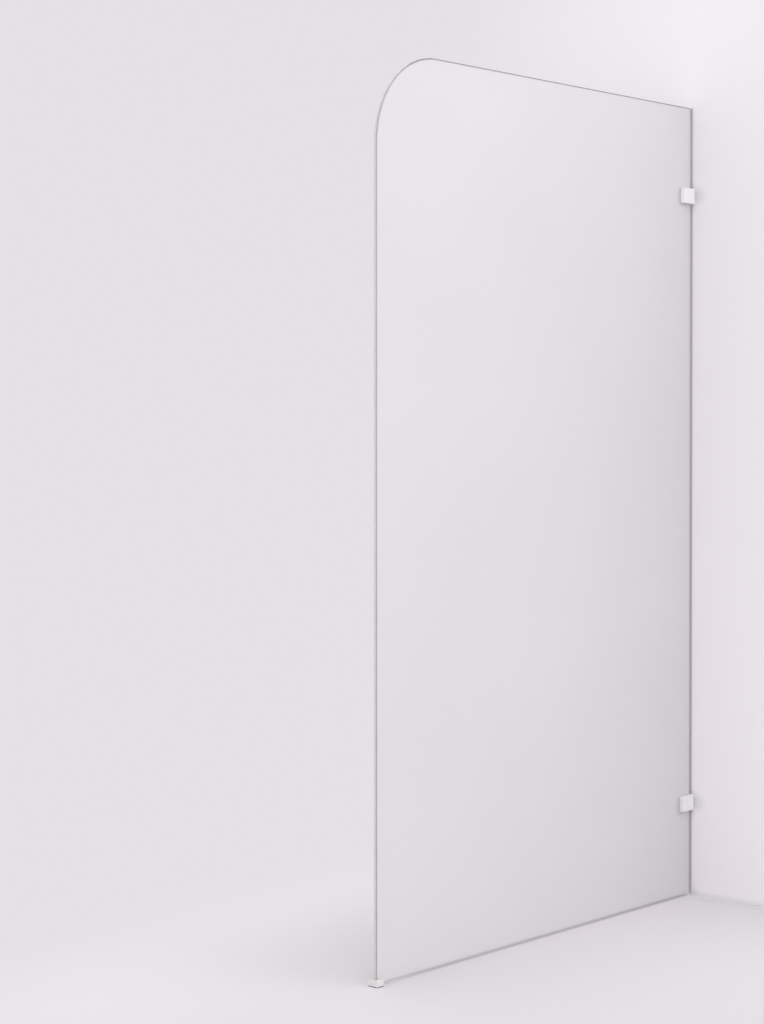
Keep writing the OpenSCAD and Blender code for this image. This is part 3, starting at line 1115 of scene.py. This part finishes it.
@dataclass
class FloorClip(SubAssembly):
    """The floor clip: channel, setting block, pads, gaskets, pressure plate and grub screws."""

    edge_radius: float = 0.8 * MM
    edge_steps: int = 4
    chamfer: float = 0.5 * MM
    screw_radius: float = 2.25 * MM
    sink_radius: float = 4.2 * MM
    grub: Screw = Screw(head_radius=2 * MM, shank_radius=2 * MM, broken_edge=0.3 * MM,
                        socket_across=2 * MM, socket_depth=2 * MM, pitch=0.7 * MM, turns=6, steps=32)
    grub_clear: float = 0.1 * MM
    grub_gap: float = 6.5 * MM
    soft: float = 0.15 * MM

    def __post_init__(self) -> None:
        """Takes the clip's places from the frame."""
        self.low, self.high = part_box("floor_clip_body")
        block_low, block_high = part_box("floor_setting_block")
        self.channel_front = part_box("floor_front_gasket")[0].y
        self.channel_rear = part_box("floor_pressure_plate")[1].y
        self.channel_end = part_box("floor_end_pad")[0].x
        self.channel_floor = block_low.z
        self.middle = (block_low.x + block_high.x) / 2
        grub_low, grub_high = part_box("floor_grub_screws")
        self.grub_face = grub_high.y
        self.grub_tip = grub_low.y
        self.grub_z = (grub_low.z + grub_high.z) / 2

    def build(self) -> None:
        """Builds the clip's eight pieces."""
        self.dress("floor_clip_body", self.body(), SHADED_FLOOR_COAT)
        strips = {"floor_setting_block": MOULDED_NYLON, "floor_end_pad": MOULDED_NYLON,
                  "floor_front_gasket": SOFT_GASKET, "floor_rear_gasket": SOFT_GASKET,
                  "floor_pressure_plate": BRIGHT_STEEL}
        for node, finish in strips.items():
            self.dress(node, rounded(node, self.soft), finish)
        self.dress("floor_grub_screws", self.grub_screws(), BRIGHT_STEEL)
        self.dress("floor_pad", self.pad(), DARK_RUBBER)

    def body(self) -> Shape:
        """Mills the channel out of the clip, with its screw hole and grub holes.

        Returns:
            The clip's body as a new bmesh.
        """
        bm = rounded("floor_clip_body", self.edge_radius, self.edge_steps)
        screw = drill(self.screw_radius, self.channel_floor - self.low.z + PAST,
                      (self.middle, 0, self.channel_floor), Axis.MINUS_Z,
                      self.sink_radius - self.screw_radius)
        grubs = [drill(self.grub.shank_radius + self.grub_clear, self.high.y - self.channel_rear + PAST,
                       (x, self.high.y, self.grub_z), Axis.MINUS_Y, self.soft)
                 for x in self.grub_places()]
        return carve(bm, cut=[self.channel(), screw, *grubs])

    def channel(self) -> Shape:
        """Makes the cutter for the channel, with a lead-in chamfer along both lips.

        Returns:
            The cutter as a new bmesh.
        """
        lip, top = self.high.z - self.chamfer, self.high.z + PAST
        spread = self.chamfer + PAST
        section = [(self.channel_front, self.channel_floor), (self.channel_rear, self.channel_floor),
                   (self.channel_rear, lip), (self.channel_rear + spread, top),
                   (self.channel_front - spread, top), (self.channel_front, lip)]
        bm = prism(section, 0, self.high.x + PAST - self.channel_end)
        stand = Matrix(((0, 0, 1, self.channel_end), (1, 0, 0, 0), (0, 1, 0, 0), (0, 0, 0, 1)))
        bmesh.ops.transform(bm, matrix=stand, verts=bm.verts)
        return bm

    def grub_places(self) -> tuple[float, float]:
        """Gives the two grub screws' places along the clip."""
        return self.middle - self.grub_gap / 2, self.middle + self.grub_gap / 2

    def grub_screws(self) -> Shape:
        """Turns both grub screws, each with its socket, as one piece of two solids.

        Returns:
            The pair as a new bmesh.
        """
        pair = bmesh.new()
        for x in self.grub_places():
            screw = link("grub_screw", self.grub.make((x, self.grub_face, self.grub_z), self.grub_tip))
            pair.from_mesh(screw.data)
            bpy.data.meshes.remove(screw.data)
        return pair

    def pad(self) -> Shape:
        """Stamps the floor pad, open round the floor screw.

        Returns:
            The pad as a new bmesh.
        """
        low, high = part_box("floor_pad")
        hole = drill(self.sink_radius, high.z - low.z + PAST, (self.middle, 0, low.z), Axis.Z)
        return carve(rounded("floor_pad", self.soft), cut=[hole])


# Studio


@dataclass(frozen=True)
class SoftBox:
    """A large soft lamp."""

    name: str
    place: Point
    aim: Point
    width: float
    height: float
    power: float

    def hang(self) -> bpy.types.Object:
        """Puts the lamp in the scene, turned towards its aim.

        Returns:
            The lamp's object.
        """
        lamp = bpy.data.lights.new(self.name, "AREA")
        lamp.shape = "RECTANGLE"
        lamp.size = self.width
        lamp.size_y = self.height
        lamp.energy = self.power
        stand = bpy.data.objects.new(self.name, lamp)
        stand.location = self.place
        stand.rotation_euler = (Vector(self.aim) - Vector(self.place)).to_track_quat("-Z", "Y").to_euler()
        bpy.context.scene.collection.objects.link(stand)
        return stand


@dataclass(frozen=True)
class PhotoCamera:
    """The camera at the photograph's place, angle and framing."""

    place: Point = (-3.968, -3.043, 1.2075)
    heading: float = math.radians(41.855)
    downward: float = math.radians(0.776)
    photo_height: int = 1024
    focal_pixels: float = 2135.6
    horizon_row: float = 449.7
    sensor: float = 36.0
    sees_to: float = 60.0

    def place_camera(self) -> None:
        """Makes the camera the scene's own. The heading is measured from +X towards +Y."""
        data = bpy.data.cameras.new("photo_camera")
        data.sensor_width = self.sensor
        data.lens = self.focal_pixels * self.sensor / self.photo_height
        data.shift_y = (self.horizon_row - self.photo_height / 2) / self.photo_height
        data.clip_end = self.sees_to
        camera = bpy.data.objects.new("photo_camera", data)
        camera.location = self.place
        camera.rotation_euler = (QUARTER_TURN - self.downward, 0, self.heading - QUARTER_TURN)
        bpy.context.scene.collection.objects.link(camera)
        bpy.context.scene.camera = camera


@dataclass(frozen=True)
class LineShade:
    """The soft shade painted on the surface next to the pane's lower or wall edge.

    Its middle is a place along Y, and its core and reach are measured from there. Along the floor it
    grows to its full depth over the run-in from the free edge.
    """

    tone: Colour
    middle: float
    core: float
    reach: float
    run_in: float = 220 * MM


@dataclass(frozen=True)
class Backdrop:
    """The matt paint of the floor or the wall, painted darker as contact shade close to what it touches.

    Its lift is painted light that evens out the lamps: the share by which the tone grows for each metre
    along X, Y and Z.
    The painted contact shade is full where the surface is no more open than closed, and gone at opened.
    """

    name: str
    tone: Colour
    lift: Point
    contact_shade: Colour
    shade_reach: float
    closed: float
    opened: float
    bounce: Colour
    line: LineShade
    is_wall: bool


class StageMaterial(Graph):
    """The material of the floor or the wall: matt paint that fades into the paper past the object."""

    FAR_GLOW = (1.0, 0.99, 1.0)
    FADE_SCALE = (0.5, 1.2, 0.5)
    FADE_SPAN = (0.65, 1.25)
    LIFT_LOW = (CAD_BOX[0].x, 0.0, 0.0)
    LIFT_HIGH = (CAD_BOX[1].x, 0.9, CAD_BOX[1].z)
    CONTACT_SAMPLES = 8
    OPEN_GAP = 8 * MM
    CLAMP_SHADE = 0.21
    SHADE_FORWARD = 42 * MM
    SHADE_UPWARD = 16 * MM

    def __init__(self, paint: Backdrop) -> None:
        """Builds the material.

        Args:
            paint: The surface's paint.
        """
        self.material = bpy.data.materials.new(paint.name)
        self.material.use_nodes = True
        super().__init__(self.material.node_tree)
        self.paint = paint
        self.where = self.add("TexCoord").outputs["Object"]
        self.place_x, self.place_y, self.place_z = self.split(self.where)
        self.shows = self.seen()
        colour = self.mix(self.shows, rgba(paint.bounce), self.shown_tone())
        glow = self.mix(self.shows, rgba(self.FAR_GLOW), rgba(PAPER))
        matt = self.add("BsdfDiffuse", {"Color": colour})
        result = self.blend(self.faded(), matt, self.add("Emission", {"Color": glow, "Strength": 1.0}))
        if paint.is_wall:
            result = self.blend(self.through_wall(), result, self.add("BsdfTransparent"))
        self.add("OutputMaterial", {"Surface": result.outputs[0]})

    def shown_tone(self) -> Socket:
        """Mixes the tone that the surface shows: its paint, evened out by painted light, under the painted
        shades.

        Returns:
            The tone.
        """
        paint = self.paint
        held = self.vector("MINIMUM", self.vector("MAXIMUM", self.where, self.LIFT_LOW), self.LIFT_HIGH)
        gain = self.math("ADD", self.vector("DOT_PRODUCT", held, paint.lift), 1.0)
        even = self.add("VectorMath", {0: paint.tone, "Scale": gain}, operation="SCALE")
        # painted shade: ambient occlusion darkens the shown colour in corners and where things touch
        contact_shade = self.add("AmbientOcclusion", {"Distance": paint.shade_reach}, samples=self.CONTACT_SAMPLES)
        openness = self.ramp(contact_shade.outputs["AO"], paint.closed, paint.opened)
        shown = self.mix(openness, rgba(paint.contact_shade), even.outputs["Vector"])
        # painted shade: a dark strip along the pane's foot and its wall edge
        shown = self.mix(self.beside_pane(), shown, rgba(paint.line.tone))
        # painted shadow: the wall darkens beside each clamp
        return self.mix(self.beside_clamps(), shown, rgba(BLACK)) if paint.is_wall else shown

    def beside_pane(self) -> Socket:
        """Masks the strip that runs along the pane.

        Returns:
            A mask that is 1 in the strip's core and 0 past its reach.
        """
        line = self.paint.line
        offset = self.apart(self.place_y, line.middle)
        strip = self.ramp(offset, line.core, line.reach, 1.0, 0.0, Easing.SOFT)
        free_edge = PANE_BOX[0].x
        start = self.ramp(self.place_x, free_edge, free_edge + line.run_in, easing=Easing.SOFT)
        along = self.math("MULTIPLY", start, self.math("LESS_THAN", self.place_x, CAD_BOX[1].x + NEAR))
        under_top = self.math("LESS_THAN", self.place_z, PANE_BOX[1].z)
        return self.math("MULTIPLY", strip, self.math("MULTIPLY", along, under_top))

    def beside_clamps(self) -> Socket:
        """Masks the shade painted on the wall beside each clamp, in front of the glass and behind it.

        Returns:
            The share by which the wall darkens there.
        """
        across = self.math("ABSOLUTE", self.place_y)
        shades = []
        for name in CLAMPS:
            low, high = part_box(f"{name}_clamp_body")
            height = self.apart(self.place_z, (low.z + high.z) / 2)
            past = self.beyond(height, (high.z - low.z) / 2 - self.SHADE_UPWARD)
            parts = {0: self.math("DIVIDE", self.beyond(across, high.y), self.SHADE_FORWARD),
                     1: self.math("DIVIDE", past, 2 * self.SHADE_UPWARD)}
            away = self.vector("LENGTH", self.add("CombineXYZ", parts).outputs[0])
            shades.append(self.ramp(away, 0.0, 1.0, self.CLAMP_SHADE, 0.0, Easing.SOFT))
        return self.math("ADD", *shades)

    def faded(self) -> Socket:
        """Masks what lies away from the object, and all that is past the wall.

        Returns:
            A mask that is 0 near the object and 1 where the plain paper shows.
        """
        offset = self.vector("SUBTRACT", self.where, (CAD_BOX[0] + CAD_BOX[1]) / 2)
        away = self.vector("LENGTH", self.vector("MULTIPLY", offset, self.FADE_SCALE))
        past_wall = self.math("GREATER_THAN", self.place_x, CAD_BOX[1].x + NEAR)
        return self.math("MAXIMUM", self.ramp(away, *self.FADE_SPAN, easing=Easing.SOFT), past_wall)

    def through_wall(self) -> Socket:
        """Opens the wall from behind, and to the light that falls on faces that lie against it.

        Returns:
            A mask that is 1 where the wall lets a ray through.
        """
        behind = self.add("NewGeometry").outputs["Backfacing"]
        close = self.math("LESS_THAN", self.add("LightPath").outputs["Ray Length"], self.OPEN_GAP)
        lighting = self.math("SUBTRACT", 1.0, self.shows)
        return self.math("MAXIMUM", behind, self.math("MULTIPLY", close, lighting))


@dataclass
class Studio:
    """A pale floor and wall, soft light and the photograph's camera."""

    ambient: float = 1.02
    stage_size: float = 12.0
    wall_front: float = -0.65
    wall_gap: float = 0.2 * MM
    floor: Backdrop = Backdrop(
        "studio_floor", tone=(0.80, 0.771, 0.795), lift=(0.137, 0.19, 0.0),
        contact_shade=(0.12, 0.114, 0.118), shade_reach=5 * MM, closed=0.5, opened=0.9,
        bounce=(0.86, 0.85, 0.86), is_wall=False,
        line=LineShade(tone=(0.605, 0.577, 0.599), middle=3 * MM, core=1 * MM, reach=12 * MM))
    wall: Backdrop = Backdrop(
        "studio_wall", tone=(0.91, 0.878, 0.904), lift=(0.0, 0.0, -0.066),
        contact_shade=(0.62, 0.593, 0.611), shade_reach=34 * MM, closed=0.35, opened=0.70,
        bounce=(0.62, 0.61, 0.62), is_wall=True,
        line=LineShade(tone=(0.44, 0.418, 0.433), middle=-5 * MM, core=2 * MM, reach=4.3 * MM))
    lamps: tuple[SoftBox, ...] = (
        SoftBox("overhead", (-0.4, -0.8, 4.6), aim=(0.2, -0.2, 1.2), width=3.6, height=3.6, power=20.0),
        SoftBox("left_fill", (-3.4, -3.2, 1.4), aim=(0.0, 0.0, 0.6), width=2.4, height=2.0, power=15.5),
        SoftBox("upper_fill", (-0.5, -0.9, 2.9), aim=(-0.4, 0.0, 1.9), width=1.4, height=1.0, power=2.0))
    key: SoftBox = SoftBox("key", (8.0, -7.4, 5.9), aim=(0.0, 0.0, 1.0), width=3.0, height=3.0, power=300.0)

    def build(self) -> None:
        """Sets up the floor, the wall, the light and the camera.

        The floor lies just under the object, and the wall stands against the clamps.
        """
        bpy.context.scene.view_settings.view_transform = "Standard"
        self.light_world()
        floor = self.surface(self.floor, Matrix.Identity(4))
        behind = (CAD_BOX[1].x + self.wall_gap, self.stage_size + self.wall_front, self.stage_size)
        upright = Matrix.Rotation(-QUARTER_TURN, 4, "Y")
        wall = self.surface(self.wall, Matrix.Translation(behind) @ upright)
        for lamp in self.lamps:
            lamp.hang()
        self.hang_key((floor, wall))
        PhotoCamera().place_camera()

    def hang_key(self, stage: Sequence[bpy.types.Object]) -> None:
        """Hangs the key, which reaches the object past the wall and leaves the stage as it is.

        Args:
            stage: The floor and the wall.
        """
        key = self.key.hang()
        key.visible_glossy = False
        unlit = bpy.data.collections.new("key_leaves_out")
        for surface in stage:
            unlit.objects.link(surface)
        for entry in unlit.collection_objects:
            entry.light_linking.link_state = "EXCLUDE"
        key.light_linking.receiver_collection = unlit
        key.light_linking.blocker_collection = unlit

    def light_world(self) -> None:
        """Lights the object evenly, and shows the plain paper to the camera and in reflections."""
        world = bpy.data.worlds.new("studio")
        world.use_nodes = True
        graph = Graph(world.node_tree)
        light = graph.add("Background", {"Color": rgba(WHITE), "Strength": self.ambient})
        paper = graph.add("Background", {"Color": rgba(PAPER), "Strength": 1.0})
        mixed = graph.blend(graph.seen(), light, paper)
        graph.add("OutputWorld", {"Surface": mixed.outputs[0]})
        bpy.context.scene.world = world

    def surface(self, paint: Backdrop, place: Matrix) -> bpy.types.Object:
        """Makes the floor or the wall, a flat sheet that faces up before it is placed.

        Args:
            paint: Its paint, which gives its name too.
            place: Its place and turn.

        Returns:
            The new object.
        """
        bm = bmesh.new()
        bmesh.ops.create_grid(bm, x_segments=1, y_segments=1, size=self.stage_size)
        bmesh.ops.transform(bm, matrix=place, verts=bm.verts)
        sheet = link(paint.name, bm)
        sheet.data.materials.append(StageMaterial(paint).material)
        return sheet


def main() -> None:
    """Builds the sub-assemblies in order and reports each piece."""
    logging.basicConfig(level=logging.INFO, format="%(name)s: %(message)s")
    assemblies = (GlassPane(), *(WallClamp(name=name) for name in CLAMPS), FloorClip())
    for assembly in assemblies:
        assembly.build()
        for piece in assembly.pieces:
            LOG.info("%s, %d faces", piece.name, len(piece.data.polygons))
    Studio().build()


if __name__ == "__main__":
    main()
